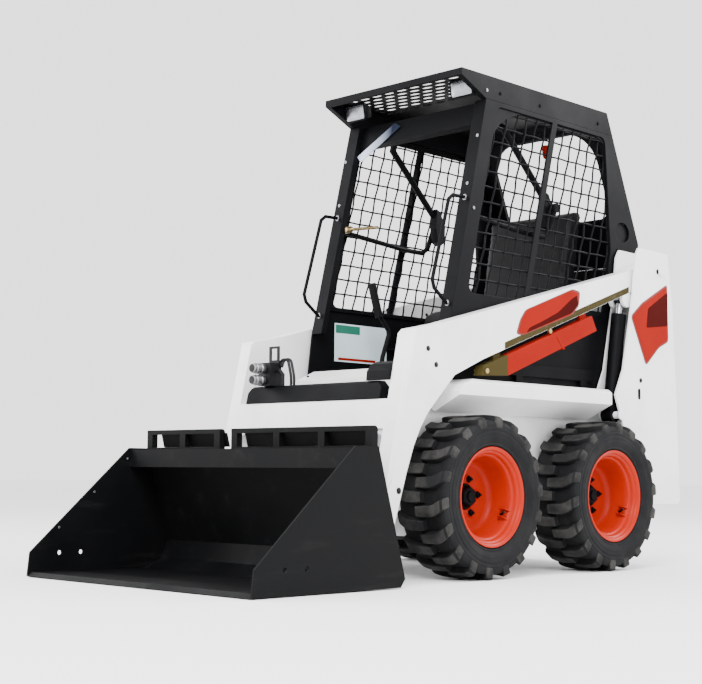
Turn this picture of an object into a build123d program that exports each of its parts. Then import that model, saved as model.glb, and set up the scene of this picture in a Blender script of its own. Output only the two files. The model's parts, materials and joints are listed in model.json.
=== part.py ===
from build123d import *
from math import asin, atan2, cos, degrees, hypot, radians, sin, sqrt
import os

# Small skid steer loader with a radial lift arm and a general purpose bucket.
#
# Frame: +X is the operator's left, -Y is forwards, +Z is up. The origin is on the
# ground, under the middle of the machine's length and width. Sizes are millimetres.

# ---------------------------------------------------------------- driving sizes
WHEELBASE = 722
FRONT_AXLE_Y = -79
AXLE_Z = 280
TYRE_R = 280                 # to the lug tips
TYRE_WIDTH = 220
LUG_HEIGHT = 24
LUG_COUNT = 18               # on each shoulder
LUG_SWEEP = 40               # how far a lug's outer end trails its inner end
LUG_ROOT = 234               # inner ends of the lugs, on the sidewall
RIM_R = 171                  # flange
RIM_WIDTH = 190
BEAD_R = 158                 # seat of the tyre on the rim
FLANGE = 6                   # thickness of the rim's flanges
RIM_FACETS = 24
RIM_DISH = 108               # from the outer flange's face to the disc
HUB_R = 46                   # across the corners

TUB_HALF = 300
WHEEL_X = TUB_HALF + 127     # middle of the tyre
TUB_BOTTOM = 142
TUB_TOP = 640
TUB_FRONT = -225
TUB_REAR = 1130
TUB_WALL = 8
TIE_R = 22                   # tie-down eyes
TIE_PLATE = 16
TIE_LUG = 40                 # half the width of each lug
TIE_Z = 215
TIE_FRONT_X, TIE_FRONT_Y = 200, TUB_FRONT - 33
TIE_REAR_X, TIE_REAR_Y = TUB_HALF - TIE_PLATE / 2, TUB_REAR + 35

CAB_HALF = 350
CAB_PLATE = 8
ROOF_TOP = 1814
ROOF_FRONT = -44
ROOF_REAR = 862
ROOF_BEAM = 89               # depth of the roof's side beams
REAR_FOOT = (1079, 1305)     # y, z of the foot of the cab's sloping rear edge
SCREEN_TOP = ROOF_TOP - 102
WIRE = 7                     # width of a wire of the side screens
WIRE_PITCH = 58
WIRE_Y, WIRE_Z = 44, 997     # where a wire of each layer starts, at the screen's foot
WIRE_LEAN = 0.27
LAMP_X, LAMP_Y, LAMP_Z = 273, 45, ROOF_TOP - 46

ARM_INNER = 371
ARM_OUTER = 439
ARM_PIVOT = (1074, 1180)     # y, z
ARM_PIVOT_R = 52
STRUT_INNER = 405            # inner face of the stored arm strut
STEP_HALF = 336
STEP_TOP = 667
COUPLER_PIVOT = (-530, 170)
LEG_TIP_R = 50
HANDLE_R = 7
SEAT_BAR_R = 13
RAIL_R = 10
AUX_R = 14                   # auxiliary hydraulic couplers
AUX_X = -230
AUX_Z = (686, 728)
AUX_FACE = -455              # front of their block
PIN_R = 14
RUN_FIT = 0.05               # radial clearance of a pin in its bore

TOWER_INNER = 356
TOWER_OUTER = 447
TOWER_PLATE = 8

LIFT_BASE = (785, 590)
LIFT_EYE = (862, 1050)
LIFT_X = 405
LIFT_BARREL_R = 29
LIFT_ROD_R = 16
TILT_BASE = (-285, 593)
TILT_EYE = (-546, 294)
TILT_BARREL_R = 28
TILT_ROD_R = 15

BUCKET_HALF = 570
BUCKET_PLATE = 6
BUCKET_FLOOR_Z = 4
CUTTER_HOLES_Y = (-1080, -993)   # side cutter bolts, in each side plate
CUTTER_HOLES_Z = 78
CUTTER_HOLE_R = 8
COUPLER_HALF = 455           # half the width of the coupler's plate
COUPLER_FACE = 1             # its front face, behind the line of the bucket's back edges

LEVER_X = 200
SEAT_BAR_HINGE = (562, 1388)
SEAT_PIN_R = 8
RAIL_STAY = (398, 1266)

DOOR_FOOT_Y = TUB_REAR + 76   # rear face of the door at its foot
DOOR_HINGE = (341, DOOR_FOOT_Y - 6)     # x, y at the foot
DOOR_PIN_R = 6
KNUCKLES = (420, 960)
KNUCKLE = 60
DOOR_TOP = 1092
DOOR_BOTTOM = 300

GAP = 0.3                    # between pieces that only lie against each other

NODES = {}


# -------------------------------------------------------------------- helpers
def slab(face, x0, x1):
    """A side view, drawn with y across and z up, given its width from x0 to x1."""
    return extrude(Plane.YZ.offset(x0) * face, amount=x1 - x0)


def outline(points):
    return make_face(Polyline(*points, close=True))


def rod_x(y, z, radius, x0, x1):
    return slab(Pos(y, z) * Circle(radius), x0, x1)


def block(x0, x1, y0, y1, z0, z1):
    return Pos((x0 + x1) / 2, (y0 + y1) / 2, (z0 + z1) / 2) * Box(x1 - x0, y1 - y0, z1 - z0)


def both_sides(shape):
    return [shape, mirror(shape, about=Plane.YZ)]


def tube(points, radius, bend=0):
    """An eight sided tube along straight runs, each corner cut back by the bend."""
    path = [Vector(*point) for point in points]
    run = [path[0]]
    for before, corner, after in zip(path, path[1:], path[2:]):
        run += [corner + (before - corner).normalized() * bend, corner + (after - corner).normalized() * bend]
    line = Polyline(*run, path[-1])
    return sweep(Plane(origin=line @ 0, z_dir=line % 0) * RegularPolygon(radius, 8), path=line,
            transition=Transition.RIGHT)


def keep(name, *shapes):
    solids = [solid for shape in shapes for solid in shape.solids()]
    NODES[name] = Compound(children=solids) if len(solids) > 1 else solids[0]


def toward(base, eye):
    """Length and unit direction from one pin to the other, in the side view."""
    dy, dz = eye[0] - base[0], eye[1] - base[1]
    length = hypot(dy, dz)
    return length, (dy / length, dz / length)


def side_axis(base, eye, x):
    """Plane at the base pin whose Z runs to the eye, for turned cylinder parts."""
    _, (dy, dz) = toward(base, eye)
    return Plane(origin=(x, base[0], base[1]), x_dir=(1, 0, 0), z_dir=(0, dy, dz))


# ----------------------------------------------------------------- the chassis
def frame_tub():
    outer = block(-TUB_HALF, TUB_HALF, TUB_FRONT, TUB_REAR, TUB_BOTTOM, TUB_TOP)
    inner = block(-TUB_HALF + TUB_WALL, TUB_HALF - TUB_WALL, TUB_FRONT + TUB_WALL,
                  TUB_REAR + 1, TUB_BOTTOM + TUB_WALL, TUB_TOP + 1)
    body = outer - inner
    half = TIE_PLATE / 2
    front = block(TIE_FRONT_X - TIE_LUG, TIE_FRONT_X + TIE_LUG, TUB_FRONT - 62, TUB_FRONT + 1,
            TIE_Z - half, TIE_Z + half)
    front -= Pos(TIE_FRONT_X, TIE_FRONT_Y, TIE_Z) * Cylinder(TIE_R, TIE_PLATE + 2)
    rear = block(TIE_REAR_X - half, TIE_REAR_X + half, TUB_REAR - 1, TUB_REAR + 64, TIE_Z - TIE_LUG,
            TIE_Z + TIE_LUG)
    rear -= rod_x(TIE_REAR_Y, TIE_Z, TIE_R, TIE_REAR_X - TIE_PLATE, TIE_REAR_X + TIE_PLATE)
    for piece in both_sides(front) + both_sides(rear):
        body += piece
    return body


FENDER_TOP = 686
FENDER = [(TUB_HALF + GAP, 600), (TUB_HALF + GAP, FENDER_TOP), (432, FENDER_TOP),
          (TOWER_OUTER, 674), (TOWER_OUTER, 628), (330, 572)]
FENDER_FRONT, FENDER_REAR = -165, 740


def fender_rail():
    section = make_face(Polyline(*FENDER, close=True))
    rail = extrude(Plane.XZ.offset(-FENDER_FRONT) * section, amount=-(FENDER_REAR - FENDER_FRONT))
    shoulder = outline([(FENDER_FRONT - 1, 640), (FENDER_FRONT + 30, 668), (FENDER_FRONT + 90,
            FENDER_TOP + 1), (FENDER_FRONT - 1, FENDER_TOP + 1)])
    return rail - slab(shoulder, TUB_HALF - 1, TOWER_OUTER + 1)


TOWER_SIDE = [(813, 530), (753, 667), (807, 769), (878, 1066), (899, 1226), (921, 1260),
              (1130, 1257), (1163, 1037), (1186, 662), (1203, 262), (1190, 245),
              (1009, 245), (960, 420), (900, 500)]


def tower():
    """Two plates, the arm's and the lift cylinder's pins welded between them, closed at the back."""
    plate = outline(TOWER_SIDE)
    inner = slab(plate, TOWER_INNER, TOWER_INNER + TOWER_PLATE)
    outer = slab(plate, TOWER_OUTER, TOWER_OUTER + TOWER_PLATE)
    pins = []
    for (y, z), proud in ((ARM_PIVOT, 12), (LIFT_BASE, 4)):
        outer += rod_x(y, z, PIN_R + 4, TOWER_OUTER + TOWER_PLATE, TOWER_OUTER + TOWER_PLATE + proud)
        pins.append(rod_x(y, z, PIN_R, TOWER_INNER + TOWER_PLATE + GAP, TOWER_OUTER - GAP))
    back = slab(outline([(1130, 1257), (1163, 1037), (1186, 662), (1203, 262),
                         (1195, 262), (1176, 662), (1153, 1037), (1122, 1240)]),
                TOWER_INNER + TOWER_PLATE + GAP, TOWER_OUTER - GAP)
    foot = block(TUB_HALF + GAP, TOWER_INNER - GAP, 960, 1130, 330, 560)
    return [inner, outer, back, foot, *pins]


def axle_housing(y):
    """Eight sided tube with a bolted flange, as far as the wheel's disc."""
    end = WHEEL_X + RIM_WIDTH / 2 - RIM_DISH - 12 - GAP
    section = Pos(y, AXLE_Z) * Rot(0, 0, 22.5) * RegularPolygon(58, 8)
    flange = Pos(y, AXLE_Z) * Rot(0, 0, 22.5) * RegularPolygon(96, 8)
    return slab(section, TUB_HALF + GAP, end) + slab(flange, TUB_HALF + GAP, TUB_HALF + 12)


def engine():
    return block(-190, 190, 480, 980, TUB_BOTTOM + TUB_WALL + 40, 640) + block(
        -120, 120, 520, 940, TUB_BOTTOM + TUB_WALL, 200)


# --------------------------------------------------------------------- wheels
def wheel_ring(sections, facets=RIM_FACETS):
    """A ring with flat facets through (distance from the middle, radius) sections."""
    return loft([Plane.XY.offset(x) * RegularPolygon(r, facets) for x, r in sections], ruled=True)


def on_axle(shape, y):
    """Places what is drawn with the wheel's axis along Z."""
    return Pos(WHEEL_X, y, AXLE_Z) * Rot(0, 90, 0) * shape


def rim(y):
    """Well with a flange at each edge, a disc set deep in it and the hub."""
    edge = RIM_WIDTH / 2
    disc = edge - RIM_DISH
    well = wheel_ring([(-edge, BEAD_R), (edge, BEAD_R)])
    for x0, x1 in ((-edge, -edge + FLANGE), (edge - FLANGE, edge)):
        well += wheel_ring([(x0, RIM_R), (x1, RIM_R)])
    well -= wheel_ring([(-edge, BEAD_R - 8), (disc - 12, BEAD_R - 8)])
    well -= wheel_ring([(disc, BEAD_R - 26), (disc + 16, BEAD_R - 26), (edge - 26, BEAD_R - 20)])
    well -= wheel_ring([(edge - 26, BEAD_R - 12), (edge, BEAD_R - 4)])
    hub = extrude(Plane.XY.offset(disc) * RegularPolygon(HUB_R, 6), amount=34)
    return on_axle(well + hub, y)


def lug(side, turn):
    """A bar from beyond the middle to the shoulder, swept back and hooked over the sidewall."""
    half = TYRE_WIDTH / 2
    top = sqrt(TYRE_R ** 2 - LUG_SWEEP ** 2)
    bar = Polyline((-14, -17), (half, LUG_SWEEP - 30), (half, LUG_SWEEP), (-14, 17), close=True)
    solid = extrude(Plane.XY.offset(LUG_ROOT) * make_face(bar), amount=top - LUG_ROOT)
    solid = Rot(0, 90, 0) * Rot(0, 0, 180) * solid
    if side < 0:
        solid = mirror(solid, about=Plane.XY)
    return Rot(0, 0, turn) * solid


def tyre(y):
    """Carcass with flat facets and two rows of lugs, half a pitch apart."""
    half = TYRE_WIDTH / 2
    crown = TYRE_R - LUG_HEIGHT
    bead = RIM_WIDTH / 2 - FLANGE - GAP
    body = wheel_ring([(-half + 4, 218), (-half + 22, crown), (half - 22, crown), (half - 4, 218)], LUG_COUNT)
    recess = wheel_ring([(bead, RIM_R + 4), (half - 4, 208)], LUG_COUNT)
    for side in (recess, mirror(recess, about=Plane.XY)):
        body -= side
    body -= wheel_ring([(-half, BEAD_R + GAP), (half, BEAD_R + GAP)])
    pitch = 360 / LUG_COUNT
    lead = degrees(asin(LUG_SWEEP / TYRE_R))
    for index in range(LUG_COUNT):
        for side, shift in ((1, 0), (-1, 0.5)):
            body += lug(side, (index + shift) * pitch + lead)
    return on_axle(body, y)


# ------------------------------------------------------------------------ cab
POST_SLOPE = (97 + 107) / (1732 - 886)
REAR_SLOPE = (REAR_FOOT[0] - ROOF_REAR) / (ROOF_TOP - REAR_FOOT[1])


def post_y(z, offset=0):
    return -107 + (z - 886) * POST_SLOPE + offset


def rear_y(z, offset=0):
    return REAR_FOOT[0] - (z - REAR_FOOT[1]) * REAR_SLOPE + offset


BEAM_BOTTOM = ROOF_TOP - ROOF_BEAM
REAR_SKIRT = ROOF_TOP - 30


def cab_side():
    plate = outline([(-132, FENDER_TOP + GAP), (-107, 886), (post_y(BEAM_BOTTOM), BEAM_BOTTOM),
                     (rear_y(BEAM_BOTTOM), BEAM_BOTTOM), REAR_FOOT, (1079, 1225),
                     (960, 1180), (856, FENDER_TOP + GAP)])
    top = SCREEN_TOP - 4
    opening = outline([(post_y(1001, 72), 1001), (post_y(top, 72), top), (rear_y(top, -62), top), (880,
            1260), (830, 1001)])
    opening = fillet(opening.vertices(), 28)
    post = outline([(310, 990), (342, 990), (530, 1710), (498, 1710)])
    oval = Pos(964, 1338) * Ellipse(48, 40)
    face = plate - opening - oval
    wall = slab(face, CAB_HALF - CAB_PLATE, CAB_HALF)
    wall += slab(post & opening, CAB_HALF - CAB_PLATE, CAB_HALF)
    flange = outline([(post_y(886), 886), (post_y(BEAM_BOTTOM), BEAM_BOTTOM),
                      (post_y(BEAM_BOTTOM, 26), BEAM_BOTTOM), (post_y(886, 26), 886)])
    return wall + slab(flange, 296, CAB_HALF - CAB_PLATE)


def cab_roof():
    """Sheet with deep side beams and a shallow skirt at the rear."""
    half = CAB_HALF
    shape = outline([(ROOF_FRONT, ROOF_TOP), (ROOF_REAR, ROOF_TOP), (rear_y(BEAM_BOTTOM + GAP),
            BEAM_BOTTOM + GAP),
                     (post_y(BEAM_BOTTOM), BEAM_BOTTOM + GAP), (ROOF_FRONT, ROOF_TOP - 26)])
    body = slab(shape, -half, half)
    low = BEAM_BOTTOM - 20
    room = slab(outline([(ROOF_FRONT + 8, ROOF_TOP - 8), (ROOF_REAR - 30, ROOF_TOP - 8),
                         (rear_y(low) - 30, low), (ROOF_FRONT + 8, low)]), -half + 24, half - 24)
    notch = block(-half + 24, half - 24, ROOF_REAR - 60, ROOF_REAR + 90, low, REAR_SKIRT)
    window = block(-half + 70, half - 70, 10, 250, ROOF_TOP - 20, ROOF_TOP + 10)
    return body - room - notch - window


def roof_screen():
    """Punched steel screen that closes the roof's front opening."""
    sheet = Pos(0, 130) * Rectangle(2 * (CAB_HALF - 60), 260)
    for row in range(6):
        for column in range(9 - row % 2):
            sheet -= Pos((column - 4 + row % 2 / 2) * 60, 34 + row * 38) * Rectangle(44, 24)
    return extrude(Pos(0, 0, ROOF_TOP - 8 - GAP - 4) * sheet, amount=4)


def front_header():
    """Folded sheet between the posts: a leaning face with a lip turned back under it."""
    low, high = BEAM_BOTTOM - 84, BEAM_BOTTOM - GAP
    face = outline([(post_y(low, 26 + GAP), low), (post_y(high, 26 + GAP), high), (post_y(high, 34),
            high), (post_y(low, 34), low)])
    lip = outline([(post_y(low, 26 + GAP), low), (post_y(low, 52), low - 10), (post_y(low, 52), low - 4),
            (post_y(low, 32), low + 8)])
    half = CAB_HALF - CAB_PLATE - GAP
    return slab(face, -half, half) + slab(lip, -half, half)


def cab_rear_wall():
    """Leaning wall with a large window, let in between the roof's side beams."""
    low, high = 1225, REAR_SKIRT - GAP
    half = CAB_HALF - CAB_PLATE - GAP
    wall = slab(outline([(rear_y(BEAM_BOTTOM - GAP, -8), BEAM_BOTTOM - GAP), (rear_y(BEAM_BOTTOM - GAP,
            -16), BEAM_BOTTOM - GAP),
                         (rear_y(low, -16), low), (rear_y(low, -8), low)]), -half, half)
    head = outline([(rear_y(high, -8), high), (rear_y(high, -16), high), (rear_y(1600, -16), 1600),
            (rear_y(1600, -8), 1600)])
    wall += slab(head, -CAB_HALF + 24 + GAP, CAB_HALF - 24 - GAP)
    bottom, top = 1410, REAR_SKIRT - 24
    window = Plane.XZ.offset(-1300) * Pos(0, (bottom + top) / 2) * RectangleRounded(530, top - bottom, 70)
    return wall - extrude(window, amount=700)


def side_screen():
    """Two layers of wires behind each side opening: level ones, and ones that lean with the posts."""
    low, high = 985, SCREEN_TOP
    sheet = outline([(post_y(low, 60), low), (post_y(high, 60), high), (rear_y(high, -50), high),
                     (892, 1260), (842, low)])
    room = outline([(post_y(low + 12, 72), low + 12), (post_y(high - 12, 72), high - 12),
                    (rear_y(high - 12, -64), high - 12), (880, 1260), (830, low + 12)])
    first = WIRE_Z + WIRE / 2
    level = Sketch() + [Pos(450, first + step * WIRE_PITCH + (WIRE_PITCH - WIRE) / 2) * Rectangle(1200,
            WIRE_PITCH - WIRE)
                        for step in range(-1, int((high - low) / WIRE_PITCH) + 1)]
    rise = high - low
    leaning = Sketch()
    for step in range(-4, 16):
        foot = WIRE_Y + step * WIRE_PITCH + WIRE / 2
        end = foot + WIRE_PITCH - WIRE
        leaning += outline([(foot, low), (end, low), (end + rise * WIRE_LEAN, high),
                (foot + rise * WIRE_LEAN, high)])
    stay = Pos(*RAIL_STAY) * RegularPolygon(15, 6)
    x1 = CAB_HALF - CAB_PLATE - GAP
    outer = slab(sheet - (room & level) - stay, x1 - 3, x1)
    inner = slab(sheet - (room & leaning) - stay, x1 - 6 - GAP, x1 - 3 - GAP)
    return [outer, inner]


def lamps():
    """Lamps that hang from the roof's corners and point a little downwards."""
    lens = Pos(LAMP_X, LAMP_Y, LAMP_Z) * Rot(-80, 0, 0) * Rectangle(104, 64)
    body = extrude(lens, amount=50, taper=14)
    body += block(LAMP_X + 14, LAMP_X + 48, LAMP_Y + 14, LAMP_Y + 38, LAMP_Z, LAMP_Z + 20)
    body += block(294, LAMP_X + 48, LAMP_Y + 14, LAMP_Y + 38, LAMP_Z, ROOF_TOP - 8 - GAP)
    return both_sides(body)


def handle():
    high, low = 1350, 955
    reach = -GAP - HANDLE_R * POST_SLOPE
    path = [(post_y(high, reach), high), (-80, high - 2), (-176, 1016), (post_y(low, reach), low)]
    return tube([(325, y, z) for y, z in path], HANDLE_R, 18)


def cab_floor():
    floor = block(-TUB_HALF, TUB_HALF, -120, 320, TUB_TOP + GAP, TUB_TOP + 8)
    riser = block(-TUB_HALF, TUB_HALF, 312, 320, TUB_TOP + GAP, 860)
    shelf = block(-CAB_HALF + CAB_PLATE + GAP, CAB_HALF - CAB_PLATE - GAP, 312, 960, 852, 860)
    return floor + riser + shelf


def front_panel():
    """White sill in front of the operator's feet, with its oval port."""
    sill = outline([(-121, 720), (-140, 738), (-232, 700), (-232, TUB_TOP + GAP), (-121, TUB_TOP + GAP)])
    body = slab(sill, -TUB_HALF, TUB_HALF)
    return body


def seat_pan():
    return block(-200, 200, 400, 760, 860 + GAP, 930)


def seat_cushion():
    return chamfer(block(-235, 235, 380, 740, 930 + GAP, 1010).edges(), 14)


def seat_back():
    shape = outline([(735, 1012), (815, 1440), (890, 1440), (812, 1012)])
    return chamfer(slab(shape, -225, 225).edges(), 14)


def seat_bracket():
    shape = outline([(764, 860 + GAP), (764, 1012 - GAP), (790, 1012 - GAP), (850, 940), (850, 860 + GAP)])
    return slab(shape, -60, 60)


def control_lever():
    path = [(130, TUB_TOP + 8 + GAP), (130, 797), (172, 905), (107, 976), (100, 997)]
    stick = tube([(LEVER_X, y, z) for y, z in path], 9, 10)
    grip = tube([(LEVER_X, 112, 961), (LEVER_X, 70, 1088)], 16)
    return stick + grip


def engine_cover():
    shape = outline([(1066, 1100), (1066, 1215), (1090, 1222), (1168, 1196), (1176, 1100)])
    return slab(shape, -TOWER_INNER + GAP, TOWER_INNER - GAP)


# --------------------------------------------------------------------- rear door
DOOR_LEAN = degrees(atan2(38, DOOR_TOP - DOOR_BOTTOM))
DOOR_FRAME = Plane(origin=(0, DOOR_FOOT_Y, DOOR_BOTTOM), x_dir=(1, 0, 0),
                   z_dir=Vector(0, -sin(radians(DOOR_LEAN)), cos(radians(DOOR_LEAN))))


def rear_door():
    """Drawn upright at its foot, then leaned to follow the towers' rear edges."""
    height = (DOOR_TOP - DOOR_BOTTOM) / cos(radians(DOOR_LEAN))
    hx, depth = DOOR_HINGE[0], DOOR_HINGE[1] - DOOR_FOOT_Y
    body = block(-345, hx - 16, -34, 0, 0, height)
    body -= block(-345 + 8, hx - 24, -40, -8, 10, height - 10)
    for z in range(330, 700, 44):
        body -= block(-240, 240, -60, 20, z, z + 22)
    for z in KNUCKLES:
        foot = z - DOOR_BOTTOM
        body += extrude(Pos(hx, depth - 3, foot) * RegularPolygon(11, 8), amount=KNUCKLE)
        body += block(hx - 18, hx - 4, depth - 9, depth + 3, foot, foot + KNUCKLE)
        body -= Pos(hx, depth - 3, foot) * Cylinder(DOOR_PIN_R + RUN_FIT, KNUCKLE,
                                                align=(Align.CENTER, Align.CENTER, Align.MIN))
    return DOOR_FRAME * body


def door_hinges():
    hx, depth = DOOR_HINGE[0], DOOR_HINGE[1] - DOOR_FOOT_Y - 3
    made = []
    for z in KNUCKLES:
        foot = z - DOOR_BOTTOM
        pin = Pos(hx, depth, foot - 14) * Cylinder(DOOR_PIN_R, KNUCKLE + 28, align=(Align.CENTER,
                Align.CENTER, Align.MIN))
        for start in (foot - 14, foot + KNUCKLE + GAP):
            pin += block(hx - 6, TOWER_INNER, depth - 8, depth + 6, start, start + 14 - GAP)
        made.append(DOOR_FRAME * pin)
    return made


# --------------------------------------------------------------------- lift arm
def front_line(z):
    """The front edge of the arm's leg."""
    return -400 - (800 - z) * (69 / 312)


def arm():
    py, pz = ARM_PIVOT
    ty, tz = COUPLER_PIVOT
    beam = outline([(-400, 800), (-396, 824), (-378, 840), (-243, 868), (879, 1164), (py - 13, pz + 50.3),
            (py + 20, pz - 48),
                    *ARM_LOW[::-1], (-183, 693), (-320, 560), (-357, 508), (-389, 448), (-422, 364),
                    (ty + 48, tz + 14), (ty - 49, tz + 11), (front_line(300), 300)])
    solid = slab(beam, ARM_INNER, ARM_OUTER)
    front = [edge for edge in solid.edges() if all(vertex.X > ARM_OUTER - 1 and abs(vertex.Y - front_line(vertex.Z)) < 2
                                                   for vertex in edge.vertices())]
    solid = chamfer(front, 14) + rod_x(py, pz, ARM_PIVOT_R, ARM_INNER, ARM_OUTER)
    solid += rod_x(ty, tz, LEG_TIP_R, ARM_INNER, ARM_OUTER)
    solid += rod_x(*LIFT_EYE, 32, ARM_INNER, ARM_OUTER)
    slot = outline([(800, 960), (800, 1100), (850, 1125), (960, 1125), (960, 960)])
    solid -= slab(slot, LIFT_X - 20, LIFT_X + 20)
    solid -= rod_x(py, pz, PIN_R + RUN_FIT, ARM_INNER - 1, ARM_OUTER + 1)
    solid -= rod_x(ty, tz, PIN_R + RUN_FIT, ARM_INNER - 1, ARM_OUTER + 1)
    return solid


def crossmember():
    shape = outline([(front_line(604), 604), (front_line(505), 505), (-428, 505), (-400, 604)])
    body = slab(shape, -ARM_INNER, ARM_INNER)
    web = Plane.XZ.offset(440) * make_face(Polyline((ARM_INNER - 62, 506), (ARM_INNER - 18, 484),
            (ARM_INNER, 440), (ARM_INNER, 506), close=True))
    for gusset in both_sides(extrude(web, amount=16)):
        body += gusset
    ear = outline([(-405, 600), (-410, 540), (-300, 566), (-285, 566), (-262, 576), (-262, 608), (-285, 620)])
    for x in (-46, 30):
        body += slab(ear, x, x + 16)
    return body - rod_x(*TILT_BASE, PIN_R + RUN_FIT, -50, 50)


def tilt_pin():
    return rod_x(*TILT_BASE, PIN_R, -46, 46)


def step_bar():
    """Step with slanted ends, and a rounded hose guard at its left end."""
    shape = outline([(front_line(604.3) - 4, 604 + GAP), (front_line(667) - 4, 660), (front_line(667) + 4,
            STEP_TOP),
                     (-395, STEP_TOP), (-395, 604 + GAP)])
    ends = Polyline((-STEP_HALF, 604), (-STEP_HALF, 645), (-STEP_HALF + 22, STEP_TOP + 1),
            (STEP_HALF - 22, STEP_TOP + 1),
                    (STEP_HALF, 645), (STEP_HALF, 604), close=True)
    bar = slab(shape, -STEP_HALF, STEP_HALF) & extrude(Plane.XZ.offset(300) * make_face(ends), amount=300)
    guard = outline([(-436, STEP_TOP + GAP), (-432, 700), (-412, 724), (-385, 734), (-350, 734), (-350,
            722), (-382, 722),
                     (-404, 714), (-420, 696), (-424, STEP_TOP + GAP)])
    return [bar, slab(guard, 262, ARM_INNER - GAP)]


def hydraulic_block():
    """Auxiliary coupler block with a looped bracket above it and its hose."""
    top = AUX_Z[1] + 22
    body = block(AUX_X - 30, AUX_X + 30, AUX_FACE, -398, STEP_TOP + GAP, top)
    for z in AUX_Z:
        body += Pos(AUX_X, AUX_FACE, z) * Rot(90, 0, 0) * Cylinder(AUX_R, 60, align=(Align.CENTER,
                Align.CENTER, Align.MIN))
    loop = block(AUX_X - 22, AUX_X + 30, -412, -406, top - 1, top + 62)
    body += loop - block(AUX_X - 12, AUX_X + 20, -413, -405, top + 12, top + 54)
    hose = tube([(AUX_X + 29, -420, 722), (AUX_X + 62, -420, 722), (AUX_X + 62, -420, STEP_TOP + GAP)], 7, 16)
    return body + hose


ARM_LOW = [(-30, 757), (878, 1077)]     # the lower edge of the arm's beam


def arm_low(y, offset=0):
    (y0, z0), (y1, z1) = ARM_LOW
    return z0 + (y - y0) * (z1 - z0) / (y1 - y0) + offset


def arm_strut():
    """Stored under the arm, hung from its underside by a lug near each end."""
    shape = outline([(-46, 699), (-32, 733), (101, 780), (614, 962), (646, 908), (101, 706)])
    strut = slab(shape, STRUT_INNER, ARM_OUTER + 6)
    for y in (40, 560):
        lug = outline([(y, arm_low(y, -GAP)), (y + 40, arm_low(y + 40, -GAP)), (y + 40, arm_low(y + 40, -45)),
                       (y, arm_low(y, -45))])
        strut += slab(lug, STRUT_INNER + 6, STRUT_INNER + 22)
    return strut


# ---------------------------------------------------------------- bucket
def wall_y(z, offset=0):
    """Back edge of the bucket's side plates."""
    return -562 - (z - BUCKET_FLOOR_Z) * (131 / 436) + offset


BUCKET_LIP_Y = -1206
BUCKET_TOP = 440


def bucket_shell():
    half = BUCKET_HALF
    side = outline([(BUCKET_LIP_Y, BUCKET_FLOOR_Z), (BUCKET_LIP_Y + 8, 83), (-795, BUCKET_TOP),
                    (wall_y(BUCKET_TOP), BUCKET_TOP), (wall_y(30), 30), (-590, BUCKET_FLOOR_Z)])
    def skin(offset):
        floor = BUCKET_FLOOR_Z + offset
        inset = offset * 1.04
        return [(wall_y(BUCKET_TOP - 6, -12 - inset), BUCKET_TOP - 6), (wall_y(110, -12 - inset), 110),
                (-640 - inset * 0.7, 40 + inset * 0.7), (-720, floor), (BUCKET_LIP_Y + 10, floor)]
    points = skin(0) + skin(BUCKET_PLATE + 2)[::-1]
    shell = slab(outline(points), -half + 1, half - 1)
    top = outline([(wall_y(BUCKET_TOP - 6, -14), BUCKET_TOP - 6), (-792, BUCKET_TOP - 6), (-792, 372),
                   (-786, 372), (-786, BUCKET_TOP - 12), (wall_y(BUCKET_TOP - 12, -14), BUCKET_TOP - 12)])
    shell += slab(top, -half + 1, half - 1)
    for y in CUTTER_HOLES_Y:
        side -= Pos(y, CUTTER_HOLES_Z) * Circle(CUTTER_HOLE_R)
    for x in (-half, half - BUCKET_PLATE):
        shell += slab(side, x, x + BUCKET_PLATE)
    pad = outline([(wall_y(430, -14), 430), (wall_y(430, COUPLER_FACE - GAP), 430),
                   (wall_y(112, COUPLER_FACE - GAP), 112), (wall_y(112, -14), 112)])
    shell += slab(pad, -COUPLER_HALF, COUPLER_HALF)
    rail = outline([(wall_y(BUCKET_TOP, 0), BUCKET_TOP - 8), (wall_y(BUCKET_TOP, 0), 496),
                    (wall_y(BUCKET_TOP, -8), 504), (wall_y(BUCKET_TOP, -24), 504), (wall_y(BUCKET_TOP,
                            -24), BUCKET_TOP - 8)])
    end = half - 5
    for x0, x1, holes in ((-end, -160, 2), (-100, end, 3)):
        piece = slab(rail, x0, x1)
        pitch = (x1 - x0 - 30) / holes
        for index in range(holes):
            start = x0 + 30 + index * pitch
            piece -= block(start, start + pitch - 30, -800, -600, BUCKET_TOP + 2, 488)
        shell += piece
    return shell


def cutting_edge():
    shape = outline([(BUCKET_LIP_Y, 2), (BUCKET_LIP_Y + 10, 18), (BUCKET_LIP_Y + 150, 18),
            (BUCKET_LIP_Y + 150, 12 + GAP),
                     (BUCKET_LIP_Y + 10, 12 + GAP), (BUCKET_LIP_Y + 9, 2)])
    return slab(shape, -BUCKET_HALF + BUCKET_PLATE + GAP, BUCKET_HALF - BUCKET_PLATE - GAP)


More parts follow.
